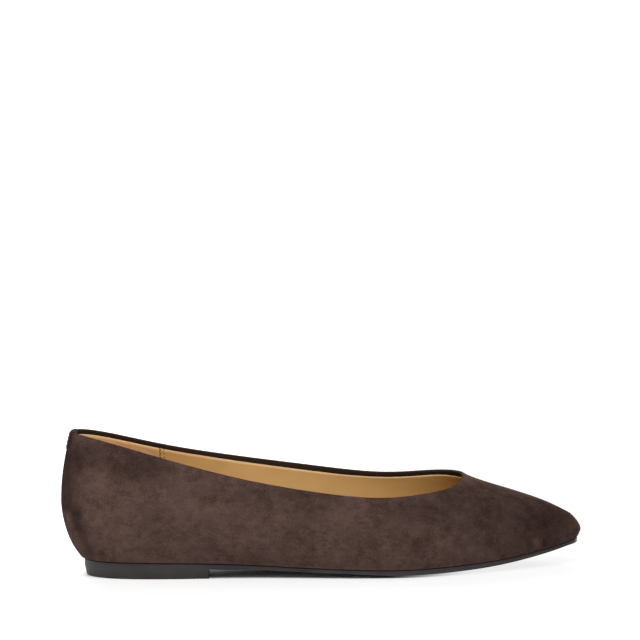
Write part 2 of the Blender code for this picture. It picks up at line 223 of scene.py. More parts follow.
class SoleSettings(bpy.types.PropertyGroup):
    """Colours and sizes of the outsole and the heel"""

    rubber: colour_property("Rubber", "Colour of the sole", (0.021, 0.018, 0.0175))
    scuffed: colour_property("Dull rubber", "Colour where the skin is duller", (0.033, 0.029, 0.028))
    edge_round: length_property("Edge", "Rounding of the outsole's edges", 0.45 * MM)
    waist_lift: length_property("Waist lift", "How far the underside rises at the waist", 0.7 * MM)
    tip_run: length_property("Tip", "Length of the sole's rounded tip", 5 * MM)
    tip_depth: length_property("Tip depth", "Depth over which the tip is rounded", 2.2 * MM)
    tip_round: length_property("Tip rounding", "How far the tip's lower edge moves back", 0.4 * MM)
    tip_reach: length_property("Tip reach", "How far the tip reaches ahead of the solid", 0.7 * MM)
    tip_rise: length_property("Tip rise", "How far the tip's upper face rises to the upper", 0.6 * MM)
    tip_drop: length_property("Tip drop", "How far the tip hangs below the solid", 0.6 * MM)
    heel_round: length_property("Heel edge", "Rounding of the heel's edges", 0.4 * MM)
    seat_rise: length_property("Seat rise", "How far the heel's seat rises into the outsole", 0.6 * MM)
    tread: length_property("Tread", "Spacing of the fine tread", 2.4 * MM)


class StitchSettings(bpy.types.PropertyGroup):
    """Colours and sizes of the stitches"""

    dark: colour_property("Dark thread", "Colour of the thread in the suede", (0.016, 0.010, 0.008))
    brown: colour_property("Brown thread", "Colour of the thread in the lining", (0.11, 0.045, 0.02))
    length: length_property("Stitch", "Length of a stitch", 1.35 * MM)
    thickness: length_property("Thread", "Thickness of the thread", 0.42 * MM)
    spacing: length_property("Spacing", "Distance from one stitch to the next", 2.0 * MM)
    near_row: length_property("First row", "Distance of the first row from the grip's seam", 0.4 * MM)
    far_row: length_property("Second row", "Distance of the second row from the grip's seam", 2.1 * MM)
    tab_margin: length_property("Tab margin", "Distance of the stitches from the tab's edge", 1.3 * MM)


class StageSettings(bpy.types.PropertyGroup):
    """Floor, light and camera"""

    floor: colour_property("Floor", "Colour of the floor", (0.93, 0.93, 0.93))
    horizon: light_property("Horizon", "Brightness of the room's walls", 1.0)
    zenith: light_property("Ceiling", "Brightness of the room's ceiling", 0.15)
    key: light_property("Key light", "Strength of the main soft light", 2.7)
    rim: light_property("Back light", "Strength of the soft light from behind", 4.0)
    low: light_property("Low light", "Strength of the light that shines in under the arch", 6.0)
    # Painted light: toward the toe the floor glows, lifting the shoe's shadow under it
    glow_share: share_property("Lit floor", "Share of the floor's light at the toe that is its own glow", 0.85)
    glow_start: length_property("Lit floor start", "Where the lit floor starts, from the heel", 160 * MM)
    glow_full: length_property("Lit floor end", "Where the floor is fully lit, from the heel", 205 * MM)
    pitch: angle_property("Camera pitch", "How far the camera looks down", 4.75)
    roll: angle_property("Camera roll", "How far the camera is rolled", 1.05)
    distance: length_property("Camera distance", "Distance from the camera to the shoe", 2.0)
    pixel: length_property("Pixel", "Size of a pixel of the frame at the shoe", 0.4972 * MM)


class Value:
    """A number socket of a finish, so that shader maths reads as a Python expression."""

    def __init__(self, finish, socket):
        self.finish = finish
        self.socket = socket

    def math(self, operation, *terms):
        return self.finish.node("ShaderNodeMath", {"operation": operation}, dict(enumerate(terms)))

    def __add__(self, other):
        return self.math("ADD", self, other)

    def __sub__(self, other):
        return self.math("SUBTRACT", self, other)

    def __rsub__(self, other):
        return self.math("SUBTRACT", other, self)

    def __mul__(self, other):
        return self.math("MULTIPLY", self, other)

    __radd__ = __add__
    __rmul__ = __mul__


class Finish:
    """A Principled material, with methods for the nodes that feed it."""

    def __init__(self, name, **constants):
        self.material = bpy.data.materials.new(name)
        self.material.use_nodes = True
        self.tree = self.material.node_tree
        self.shader = self.tree.nodes["Principled BSDF"]
        for socket, value in constants.items():
            self.feed(self.shader.inputs[socket.replace("_", " ")], value)

    def feed(self, socket, value):
        """Links a socket to a wrapped one, or sets its value."""
        if isinstance(value, Value):
            self.tree.links.new(value.socket, socket)
        else:
            socket.default_value = value

    def node(self, kind, settings=None, inputs=None, output=0):
        """Adds a node, with its settings first and then its sockets, and returns one output."""
        node = self.tree.nodes.new(kind)
        for name, value in (settings or {}).items():
            setattr(node, name, value)
        for name, value in (inputs or {}).items():
            self.feed(node.inputs[name], value)
        return Value(self, node.outputs[output])

    def place(self, stretch=(1.0, 1.0, 1.0), turn=(0.0, 0.0, 0.0)):
        """Object coordinates, stretched and turned."""
        coordinates = self.node("ShaderNodeTexCoord", output="Object")
        sockets = {"Vector": coordinates, "Rotation": turn, "Scale": stretch}
        return self.node("ShaderNodeMapping", {}, sockets)

    def along(self):
        """Distance in front of the heel's back."""
        place = self.node("ShaderNodeTexCoord", output="Object")
        return self.node("ShaderNodeSeparateXYZ", {}, {0: place}, output=0) - HEEL_X

    def attribute(self, name):
        return self.node("ShaderNodeAttribute", {"attribute_name": name}, output="Fac")

    def noise(self, place, size, detail=2.0, roughness=0.5):
        """Noise of about that size, from 0 to 1."""
        sockets = {"Vector": place, "Scale": 1.0 / size, "Detail": detail, "Roughness": roughness}
        return self.node("ShaderNodeTexNoise", {}, sockets)

    def cells(self, place, size, output="Distance"):
        """Distance to the nearest of scattered points, or the colour of its cell."""
        return self.node("ShaderNodeTexVoronoi", {}, {"Vector": place, "Scale": 1.0 / size}, output)

    def ramp(self, value, low, high, start=0.0, end=1.0):
        """Goes smoothly from start, where the value is low, to end, where it is high."""
        sockets = {"Value": value, "From Min": low, "From Max": high, "To Min": start, "To Max": end}
        return self.node("ShaderNodeMapRange", {"interpolation_type": "SMOOTHSTEP"}, sockets)

    def mix(self, first, second, factor):
        """A colour between two colours."""
        colours = [c if isinstance(c, Value) else (*c, 1.0) for c in (first, second)]
        sockets = {0: factor, 6: colours[0], 7: colours[1]}
        return self.node("ShaderNodeMix", {"data_type": "RGBA"}, sockets, output=2)

    def bump(self, height, depth, strength=1.0):
        """Feeds the shader's normal with a relief of that depth."""
        sockets = {"Height": height, "Distance": depth, "Strength": strength}
        self.feed(self.shader.inputs["Normal"], self.node("ShaderNodeBump", {}, sockets))

    def paint(self, **sockets):
        """Feeds sockets of the shader that change over the surface."""
        for socket, value in sockets.items():
            self.feed(self.shader.inputs[socket.replace("_", " ")], value)
        return self.material


def shaded(colour, amount):
    """A colour made darker or, with an amount above one, lighter."""
    return tuple(amount * part for part in colour)


def suede_finish(look):
    """Napped suede: soft mottled patches, small tufts, short fibres, a few pale specks, painted light
    and shade from the nap attribute, and painted shade inside the folded edge.
    """
    finish = Finish("suede", Sheen_Weight=0.006, Sheen_Roughness=0.35, Specular_IOR_Level=0.0)
    place = finish.place()
    brushed = finish.place(stretch=(0.45, 0.8, 1.2), turn=(0.0, 0.25, 0.0))
    mottle = finish.noise(place, look.mottle)
    tuft = finish.noise(place, look.tuft, detail=3.0, roughness=0.55)
    fibre = finish.noise(brushed, look.fibre, roughness=0.6)
    grain = finish.noise(place, look.grain, detail=1.0, roughness=0.6)
    nap = finish.attribute("nap")
    light = 0.65 * mottle + 0.9 * tuft + 0.4 * fibre + 0.9 * grain
    light = finish.ramp(light, low=0.95, high=1.9)
    cast = finish.noise(finish.place(turn=(0.6, 0.2, 0.9)), 0.7 * look.mottle)
    cast = finish.ramp(cast, low=0.45, high=0.65)
    colour = finish.mix(look.pressed, look.raised, light)
    colour = finish.mix(colour, look.mauve, 0.35 * cast)
    flat = finish.mix(shaded(look.flat, 0.6), shaded(look.flat, 1.5), light)
    # Painted shade pulls the colour toward the flat nap's colour, and painted light toward the raised
    # nap's
    colour = finish.mix(colour, flat, finish.ramp(nap, low=0.0, high=-1.0))
    colour = finish.mix(colour, look.raised, finish.ramp(nap, low=0.0, high=1.0))
    speck_gap = 2.6 * MM
    chosen = finish.ramp(finish.cells(place, speck_gap, "Color"), low=0.9, high=0.95)
    speck = finish.ramp(finish.cells(place, speck_gap), low=0.16, high=0.06) * chosen
    colour = finish.mix(colour, look.speck, 0.4 * speck)
    # Painted shade inside the folded edge
    colour = finish.mix(colour, look.fold, finish.attribute("fold"))
    seam = finish.ramp(finish.attribute("from_seam"), 0.5 * look.seam_width, 0.1 * look.seam_width)
    colour = finish.mix(colour, look.fold, 0.7 * seam)
    height = 0.5 * fibre + 0.7 * grain + 0.3 * tuft - 1.5 * seam
    finish.bump(height, depth=0.2 * MM, strength=0.6)
    return finish.paint(Base_Color=colour, Roughness=0.98 - 0.12 * light)


def cut_edge(finish, tone, look):
    """Lays the paler band of the cut edge over a tone, from the distance below that edge."""
    below = finish.attribute("below_edge")
    band = finish.ramp(below, 1.3 * look.rim_height, 0.7 * look.rim_height)
    return finish.mix(tone, look.rim, band)


def leather_finish(name, colour, look):
    """Smooth tan leather with fine pores, soft clouds, a paler cut edge and painted shade deep in the
    throat.
    """
    finish = Finish(name, Specular_IOR_Level=0.35)
    place = finish.place()
    cloud = finish.noise(place, size=14 * MM, detail=3.0)
    pore = finish.cells(place, size=0.55 * MM)
    tint = finish.ramp(cloud + 0.25 * pore, low=0.3, high=0.75)
    tone = finish.mix(shaded(colour, 0.88), colour, tint)
    # Painted shade, deeper in the throat
    deep = finish.ramp(finish.along(), look.throat_start, look.throat_full)
    tone = finish.mix(tone, look.throat, deep)
    tone = cut_edge(finish, tone, look)
    finish.bump(pore, depth=0.04 * MM, strength=0.5)
    return finish.paint(Base_Color=tone, Roughness=0.42 + 0.2 * cloud)


def grip_finish(look):
    """Napped lining at the heel, pinker and rougher than the rest."""
    finish = Finish("grip_leather", Specular_IOR_Level=0.2, Sheen_Weight=0.15)
    place = finish.place()
    cloud = finish.noise(place, size=6 * MM, detail=4.0, roughness=0.6)
    nap = finish.noise(place, size=0.6 * MM, detail=3.0, roughness=0.7)
    tint = finish.ramp(0.6 * cloud + 0.4 * nap, low=0.36, high=0.62)
    tone = finish.mix(shaded(look.grip, 0.74), look.grip, tint)
    tone = cut_edge(finish, tone, look)
    finish.bump(nap, depth=0.12 * MM, strength=0.6)
    return finish.paint(Base_Color=tone, Roughness=0.95 - 0.1 * cloud)


def rubber_finish(look):
    """Moulded dark rubber: a fine stippled skin, duller in patches, and a fine tread underneath."""
    finish = Finish("sole_rubber", Specular_IOR_Level=0.22)
    place = finish.place()
    cloud = finish.noise(place, size=16 * MM, detail=3.0)
    stipple = finish.noise(place, size=0.5 * MM, roughness=0.6)
    normal = finish.node("ShaderNodeNewGeometry", output="Normal")
    down = finish.node("ShaderNodeSeparateXYZ", {}, {0: normal}, output=2)
    under = finish.ramp(down, low=-0.8, high=-0.95)
    turned = finish.place(stretch=(1.0 / look.tread,) * 3, turn=(0.0, 0.0, math.radians(45)))
    tread = finish.node("ShaderNodeTexChecker", {}, {"Vector": turned, "Scale": 1.0}, output="Fac")
    dull = finish.ramp(cloud + 0.3 * stipple, low=0.45, high=0.85)
    colour = finish.mix(look.rubber, look.scuffed, dull)
    finish.bump(0.3 * stipple + under * tread, depth=0.12 * MM, strength=0.6)
    return finish.paint(Base_Color=colour, Roughness=0.5 + 0.16 * cloud)


def thread_finish(name, colour):
    """Waxed thread with its twist."""
    finish = Finish(name, Specular_IOR_Level=0.3)
    twist = finish.noise(finish.place(stretch=(1.0, 1.0, 0.4)), size=0.3 * MM)
    tone = finish.mix(shaded(colour, 0.6), colour, twist)
    finish.bump(twist, depth=0.05 * MM, strength=0.6)
    return finish.paint(Base_Color=tone, Roughness=0.6 + 0.2 * twist)


def only(piece):
    """Selects one object alone and makes it active."""
    bpy.ops.object.select_all(action="DESELECT")
    piece.select_set(True)
    bpy.context.view_layer.objects.active = piece


@contextmanager
def editing(piece, kind="VERT"):
    """Edit mode on one piece with nothing selected."""
    only(piece)
    bpy.ops.object.mode_set(mode="EDIT")
    bpy.ops.mesh.select_mode(type=kind)
    bpy.ops.mesh.select_all(action="DESELECT")
    yield bmesh.from_edit_mesh(piece.data)
    bpy.ops.object.mode_set(mode="OBJECT")


def modify(piece, kind, **settings):
    """Adds a modifier and applies it."""
    only(piece)
    modifier = piece.modifiers.new(kind.title(), kind)
    for name, value in settings.items():
        setattr(modifier, name, value)
    bpy.ops.object.modifier_apply(modifier=modifier.name)


def round_edges(piece, width, least=30):
    """Rounds the edges where faces meet at more than the least angle, in degrees."""
    modify(
        piece, "BEVEL", width=width, segments=2, limit_method="ANGLE", angle_limit=math.radians(least)
    )


def subdivide(piece):
    """Smooths a piece by subdivision."""
    modify(piece, "SUBSURF", levels=SMOOTH_LEVELS, render_levels=SMOOTH_LEVELS)


def eased(share):
    """Eases shares from 0 to 1 in and out."""
    return share**2 * (3.0 - 2.0 * share)


def points_of(piece):
    points = np.empty(3 * len(piece.data.vertices), np.float32)
    piece.data.vertices.foreach_get("co", points)
    return points.reshape(-1, 3).astype(float)


def normals_of(piece):
    normals = np.empty(3 * len(piece.data.vertices), np.float32)
    piece.data.vertices.foreach_get("normal", normals)
    return normals.reshape(-1, 3).astype(float)


def set_points(piece, points):
    piece.data.vertices.foreach_set("co", np.asarray(points, np.float32).ravel())
    piece.data.update()


def keep_on_floor(piece):
    """Lifts points that lie below the floor."""
    points = points_of(piece)
    points[:, 2] = np.maximum(points[:, 2], 0.0)
    set_points(piece, points)


def paint_attribute(piece, name, values):
    """Stores a number for each point, for the finish to read."""
    layer = piece.data.attributes.new(name, "FLOAT", "POINT")
    layer.data.foreach_set("value", np.asarray(values, np.float32))


def merged_copy(node, name):
    """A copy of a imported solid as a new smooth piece, with its points merged."""
    piece = bpy.data.objects.new(name, frame["nodes"][node].data.copy())
    bpy.context.scene.collection.objects.link(piece)
    piece.data.name = name
    piece.data.materials.clear()
    only(piece)
    bpy.ops.mesh.customdata_custom_splitnormals_clear()
    with editing(piece):
        bpy.ops.mesh.select_all(action="SELECT")
        bpy.ops.mesh.remove_doubles(threshold=MERGE)
        bpy.ops.mesh.mark_sharp(clear=True)
        bpy.ops.mesh.faces_shade_smooth()
    return piece


def copy_of(node, name):
    """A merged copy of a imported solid, with its triangles paired to quads."""
    piece = merged_copy(node, name)
    with editing(piece):
        bpy.ops.mesh.select_all(action="SELECT")
        bpy.ops.mesh.tris_convert_to_quads(
            face_threshold=math.pi, shape_threshold=math.pi, topology_influence=2.0
        )
    return piece


def copy_of_wall(name):
    """A merged copy of the upper as a clean grid, and its rows of points."""
    wall = merged_copy("upper", name)
    rows = wall_rows(wall)
    row_of = np.empty(rows.size, int)
    rib_of = np.empty(rows.size, int)
    for row, points in enumerate(rows):
        row_of[points] = row
        rib_of[points] = np.arange(len(points))
    with editing(wall, "EDGE") as mesh:
        for edge in mesh.edges:
            one, other = (vert.index for vert in edge.verts)
            edge.select_set(row_of[one] != row_of[other] and rib_of[one] != rib_of[other])
        bpy.ops.mesh.dissolve_edges(use_verts=False)
    return wall, rows


def smooth_through_points(piece):
    """Subdivides a piece so that its smooth surface still passes through the points it has."""
    modifier = piece.modifiers.new("Smooth", "SUBSURF")
    modifier.levels = SMOOTH_LEVELS
    modifier.render_levels = SMOOTH_LEVELS
    wanted = points_of(piece)
    cage = wanted.copy()
    for _ in range(FIT_ROUNDS):
        set_points(piece, cage)
        bpy.context.view_layer.update()
        reached = points_of(piece.evaluated_get(bpy.context.evaluated_depsgraph_get()))
        cage += wanted - reached[: len(wanted)]
    set_points(piece, cage)
    only(piece)
    bpy.ops.object.modifier_apply(modifier=modifier.name)


def loop_through(start, allowed, linked):
    """Walks round the closed loop of linked points that lie in a set."""
    loop = [start]
    while ahead := (linked[loop[-1]] & allowed).difference(loop):
        loop.append(min(ahead))
    return np.array(loop)


def in_step(loop, row, points):
    """A loop of points, turned round so that it runs beside a row."""
    turned = [np.roll(way, shift) for way in (loop, loop[::-1]) for shift in range(len(loop))]
    return min(turned, key=lambda way: ((points[way] - points[row]) ** 2).sum())


def wall_rows(piece):
    """Point numbers of the upper's wall, in closed rows from the folded edge down and back up inside."""
    points, normals = points_of(piece), normals_of(piece)
    linked = [set() for _ in points]
    for edge in piece.data.edges:
        one, other = edge.vertices
        linked[one].add(other)
        linked[other].add(one)
    top = int(points[:, 2].argmax())
    crest = [top]
    while len(crest) < 3 or top not in linked[crest[-1]]:
        ahead = linked[crest[-1]].difference(crest)
        crest.append(max(ahead, key=lambda point: normals[point] @ normals[crest[-1]]))
    rows = [np.array(crest)]
    before = set()
    start = min(linked[top].difference(crest), key=lambda point: points[point, 0])
    while start not in crest:
        row = set(rows[-1].tolist())
        beside = set().union(*(linked[point] for point in row)) - row - before
        loop = loop_through(start, beside, linked)
        if len(loop) != len(crest):
            raise RuntimeError("the upper's wall isn't a grid of rows")
        rows.append(in_step(loop, rows[-1], points))
        before = row
        start = min(linked[int(rows[-1][0])].difference(loop.tolist(), row))
    return np.array(rows)


def keep_faces(piece, wanted):
    """Deletes the faces of a piece whose points aren't all among the wanted ones."""
    wanted = set(wanted)
    with editing(piece, "FACE") as mesh:
        for face in mesh.faces:
            face.select_set(not all(vert.index in wanted for vert in face.verts))
        bpy.ops.mesh.delete(type="FACE")


def distance_to_path(points, path):
    """Distance of points in a plane from a broken line."""
    nearest = np.full(len(points), np.inf)
    for start, end in zip(path, path[1:]):
        start, way = np.array(start), np.array(end) - np.array(start)
        share = np.clip((points - start) @ way / (way @ way), 0.0, 1.0)
        nearest = np.minimum(nearest, np.linalg.norm(points - start - share[:, None] * way, axis=1))
    return nearest


def side_view(points):
    """Places along the shoe and above the floor, in millimetres."""
    return np.column_stack([points[:, 0] - HEEL_X, points[:, 2]]) / MM


def press_reliefs(piece):
    """Presses the troughs and ridges into the suede, along its normals, and returns their painted light
    and shade.
    """
    points, normals = points_of(piece), normals_of(piece)
    flat = side_view(points)
    move, shade = np.zeros((2, len(points)))
    for relief in RELIEFS:
        near = distance_to_path(flat, relief.path) / relief.width
        facing = np.clip(SIDE_FADE * relief.side * normals[:, 1], 0.0, 1.0)
        mark = facing * np.exp(-MARK_FADE * near**2)
        move += relief.depth * MM * mark
        shade += relief.shade * mark
    set_points(piece, points + move[:, None] * normals)
    return shade


def nap_and_shade(piece):
    """How light or dark each point looks, from the nap's lie and from painted light and shade."""
    flat = side_view(points_of(piece))
    amount = np.zeros(len(flat))
    for patch in NAP_AND_SHADE_PATCHES:
        away = (flat - (patch.along, patch.up)) / (patch.wide, patch.high)
        amount += patch.amount * np.exp(-(away**2).sum(axis=1))
    return amount * np.interp(normals_of(piece)[:, 1], (0.0, INNER_TURN), (1.0, INNER_NAP_AND_SHADE))


def place_piece(piece, nodes, material):
    """Gives a finished piece its material and its place in the table."""
    piece.data.materials.clear()
    piece.data.materials.append(material)
    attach(piece, "root")
    if nodes:
        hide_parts(*nodes)


class FLAT_OT_upper(bpy.types.Operator):
    """Makes the suede upper: the lasted wall with its folded edge, back seam and creases"""

    bl_idname = "ballet_flat.upper"
    bl_label = "Suede upper"
    # Share of the painted shade of the fold's inside that lies on its crest
    crest_shade = 0.15  # how much of the dark inside of the folded edge shows on its crest
    nose_rounds = 14

    def execute(self, context):
        look = context.scene.flat_suede
        upper, rows = copy_of_wall("suede_upper")
        points = points_of(upper)
        # The inner face moves out to leave room for the lining
        for row in range(INNER_LOW, INNER_TOP + 1):
            skin = points[rows[OUTER_LOW + INNER_LOW - row]]
            points[rows[row]] = skin + look.share * (points[rows[row]] - skin)
        set_points(upper, points)
        # Painted shade inside the folded edge, down to the lining's edge, and a little on the crest
        fold = np.zeros(len(points))
        fold[rows[[INNER_TOP, *HEM_INSIDE]]] = 1.0
        fold[rows[CREST]] = self.crest_shade
        paint_attribute(upper, "fold", fold)
        smooth_through_points(upper)
        self.press_back_seam(upper, look)
        self.round_nose(upper, look)
        shade = press_reliefs(upper)
        # The nap attribute carries the nap's lie and the painted light and shade of the patches and
        # reliefs
        paint_attribute(upper, "nap", nap_and_shade(upper) + shade)
        place_piece(upper, ["upper"], suede_finish(look))
        return {"FINISHED"}

    def round_nose(self, upper, look):
        """Takes the edge off the tip of the toe, which keeps its reach."""
        with editing(upper) as mesh:
            tip = max(mesh.verts, key=lambda vert: vert.co.x).co.copy()
            for vert in mesh.verts:
                vert.select_set((vert.co - tip).length < look.nose)
            mesh.select_flush(True)
            bpy.ops.mesh.vertices_smooth(factor=0.5, repeat=self.nose_rounds)
        points = points_of(upper)
        near = eased(np.clip((points[:, 0] - tip.x + look.nose) / look.nose, 0.0, 1.0))
        lost = tip.x - points[:, 0].max()
        points[:, 0] += near * (lost + look.nose_tilt * (points[:, 2] - tip.z))
        set_points(upper, points)

    def press_back_seam(self, upper, look):
        """Presses the trough of the seam where the two sides meet at the back."""
        points, normals = points_of(upper), normals_of(upper)
        middle = points[points[:, 0].argmin(), 1]
        away = np.abs(points[:, 1] - middle)
        backward = np.clip(-normals[:, 0], 0.0, 1.0)
        move = -look.seam_depth * np.exp(-((away / look.seam_width) ** 2)) * backward
        paint_attribute(upper, "from_seam", np.where(backward > 0.0, away, FAR_FROM_SEAM))
        set_points(upper, points + move[:, None] * normals)


class FLAT_OT_lining(bpy.types.Operator):
    """Makes the tan lining and the heel grip that is sewn to it"""

    bl_idname = "ballet_flat.lining"
    bl_label = "Lining and heel grip"
    rise_end = 140 * MM  # behind this, the lining reaches up the hem
    rise_run = 70 * MM
    rise_share = 0.34
    dip_start = 190 * MM  # in front of this, it stays further below the fold
    dip_run = 10 * MM
    dip = 2.3 * MM
    edge_round = 0.15 * MM

    def execute(self, context):
        look = context.scene.flat_lining
        seam = HEEL_X + look.seam_along
        half_gap = look.seam_gap / 2
        lining = self.inner_skin("vamp_lining")
        grip = self.inner_skin("heel_grip")
        self.cut(lining, seam + half_gap, clear_inner=True)
        self.cut(grip, seam - half_gap, clear_outer=True)
        self.thicken(lining, look.thickness, 0.0)
        self.thicken(grip, look.thickness, look.grip_rise)
        leather = leather_finish("lining_leather", look.leather, look)
        place_piece(lining, ["upper"], leather)
        place_piece(grip, ["upper"], grip_finish(look))
        return {"FINISHED"}

    def inner_skin(self, name):
        """The wall's inner face, which knows how far below its upper edge each point lies."""
        skin, rows = copy_of_wall(name)
        points = points_of(skin)
        below = np.zeros(len(points))
        for row in range(INNER_TOP - 1, INNER_LOW - 1, -1):
            step = np.linalg.norm(points[rows[row]] - points[rows[row + 1]], axis=1)
            below[rows[row]] = below[rows[row + 1]] + step
        paint_attribute(skin, "below_edge", below)
        self.place_edge(points, rows)
        set_points(skin, points)
        keep_faces(skin, rows[INNER_LOW + 1 : INNER_TOP + 1].ravel())
        smooth_through_points(skin)
        return skin

    def place_edge(self, points, rows):
        """Moves the upper edge up the hem at the heel, and down at the end of the throat."""
        edge = points[rows[INNER_TOP]]
        along = edge[:, :1] - HEEL_X
        heelward = np.clip((self.rise_end - along) / self.rise_run, 0.0, 1.0)
        throatward = np.clip((along - self.dip_start) / self.dip_run, 0.0, 1.0) ** 2
        hem = points[rows[HEM_INSIDE[1]]] - points[rows[HEM_INSIDE[0]]]
        down = points[rows[INNER_TOP - 1]] - edge
        down /= np.linalg.norm(down, axis=1, keepdims=True)
        points[rows[INNER_TOP]] += self.rise_share * heelward * hem + self.dip * throatward * down

    def cut(self, skin, along, **side):
        """Cuts a skin across the shoe and drops one side."""
        with editing(skin):
            bpy.ops.mesh.select_all(action="SELECT")
            bpy.ops.mesh.bisect(plane_co=(along, 0.0, 0.0), plane_no=(1.0, 0.0, 0.0), **side)

    def thicken(self, skin, behind, proud):
        """Gives a skin its thickness and rounds its edges."""
        thickness = behind + proud
        modify(skin, "SOLIDIFY", thickness=thickness, offset=(proud - behind) / thickness)
        round_edges(skin, self.edge_round)


class FLAT_OT_sock(bpy.types.Operator):
    """Makes the sock insole with its rounded rim"""

    bl_idname = "ballet_flat.sock"
    bl_label = "Sock insole"
    rim_round = 0.5 * MM

    def execute(self, context):
        look = context.scene.flat_lining
        sock = copy_of("insole", "sock_insole")
        round_edges(sock, self.rim_round, least=40)
        subdivide(sock)
        # The sock shows no cut edge, so all of it counts as far below one
        paint_attribute(sock, "below_edge", np.full(len(sock.data.vertices), look.seam_along))
        place_piece(sock, ["insole"], leather_finish("sock_leather", look.sock, look))
        return {"FINISHED"}


class FLAT_OT_outsole(bpy.types.Operator):
    """Makes the thin rubber outsole with its rounded edge"""

    bl_idname = "ballet_flat.outsole"
    bl_label = "Outsole"
    waist = (82 * MM, 108 * MM, 142 * MM, 168 * MM)  # where thinning starts, is full and ends
    waist_fade = 12 * MM  # from the middle line to where it is full, or none

    def execute(self, context):
        look = context.scene.flat_sole
        outsole = copy_of("outsole", "rubber_outsole")
        self.lift_waist(outsole, look)
        round_edges(outsole, look.edge_round, least=40)
        subdivide(outsole)
        self.round_tip(outsole, look)
        keep_on_floor(outsole)
        place_piece(outsole, ["outsole"], rubber_finish(look))
        return {"FINISHED"}

    def lift_waist(self, outsole, look):
        """Thins the sole's waist from below, on the outer side."""
        points = points_of(outsole)
        rise = eased(np.interp(points[:, 0] - HEEL_X, self.waist, (0.0, 1.0, 1.0, 0.0)))
        rise *= np.interp(points[:, 1], (-self.waist_fade, self.waist_fade), (1.0, 0.0))
        points[:, 2] += look.waist_lift * rise * (normals_of(outsole)[:, 2] < 0.0)
        set_points(outsole, points)

    def round_tip(self, outsole, look):
        """Rounds the lower edge of the sole's tip, which reaches a little ahead."""
        points = points_of(outsole)
        front = points[:, 0].max()
        tip = np.clip((points[:, 0] - front + look.tip_run) / look.tip_run, 0.0, 1.0) ** 2
        top = points[points[:, 0] > front - look.tip_run, 2].max()
        depth = np.clip((top - points[:, 2]) / look.tip_depth, 0.0, 1.0) ** 2
        points[:, 0] += tip * (look.tip_reach - look.tip_round * depth)
        points[:, 2] += tip * (look.tip_rise * (1.0 - depth) - look.tip_drop * depth)
        set_points(outsole, points)


class FLAT_OT_heel(bpy.types.Operator):
    """Makes the low heel block, set close under the outsole"""

    bl_idname = "ballet_flat.heel"
    bl_label = "Heel block"

    def execute(self, context):
        look = context.scene.flat_sole
        heel = copy_of("heel", "rubber_heel")
        with editing(heel) as mesh:
            seat = max(vert.co.z for vert in mesh.verts)
            for vert in mesh.verts:
                vert.select_set(vert.co.z > seat / 2)
            mesh.select_flush(True)
            bpy.ops.transform.translate(value=(0.0, 0.0, look.seat_rise))
        round_edges(heel, look.heel_round, least=40)
        keep_on_floor(heel)
        rubber = bpy.data.objects["rubber_outsole"].active_material
        place_piece(heel, ["heel"], rubber)
        return {"FINISHED"}


class FLAT_OT_back_tab(bpy.types.Operator):
    """Makes the suede tab folded over the topline at the back seam"""

    bl_idname = "ballet_flat.back_tab"
    bl_label = "Back tab"
    clear = 0.03 * MM  # between the upper and the tab
    swell_fade = (4 * MM, 7.5 * MM)  # from the heel's back, where the swell at the top ends
    edge_round = 0.2 * MM
    # The tab's nap is painted darker, as painted shade like that at the back of the heel
    nap = -0.5

    def execute(self, context):
        look = context.scene.flat_suede
        tab = copy_of("back_tab", "suede_tab")
        round_edges(tab, self.edge_round, least=60)
        subdivide(tab)
        self.press_on(tab, look)
        count = len(tab.data.vertices)
        paint_attribute(tab, "nap", np.full(count, self.nap))
        paint_attribute(tab, "fold", np.zeros(count))
        paint_attribute(tab, "from_seam", np.full(count, FAR_FROM_SEAM))
        suede = bpy.data.objects["suede_upper"].active_material
        place_piece(tab, ["back_tab"], suede)
        return {"FINISHED"}

    def press_on(self, tab, look):
        """Presses the tab down on the upper, so that it hardly stands proud of it."""
        upper = bpy.data.objects["suede_upper"]
        points = points_of(tab)
        proud, feet, ways = [], [], []
        for point in points:
            _, foot, normal, _ = upper.closest_point_on_mesh(Vector(point))
            feet.append(foot)
            ways.append(normal)
            proud.append((Vector(point) - foot).dot(normal))
        proud = np.array(proud)
        share = (proud - proud.min()) / (proud.max() - proud.min())
        height = points[:, 2] - points[:, 2].min()
        swell = height / height.max()
        swell *= np.interp(points[:, 0] - HEEL_X, self.swell_fade, (1.0, 0.0))
        thick = look.tab_thick + look.tab_swell * swell
        lift = self.clear + (thick - self.clear) * share
        set_points(tab, np.array(feet) + lift[:, None] * np.array(ways))


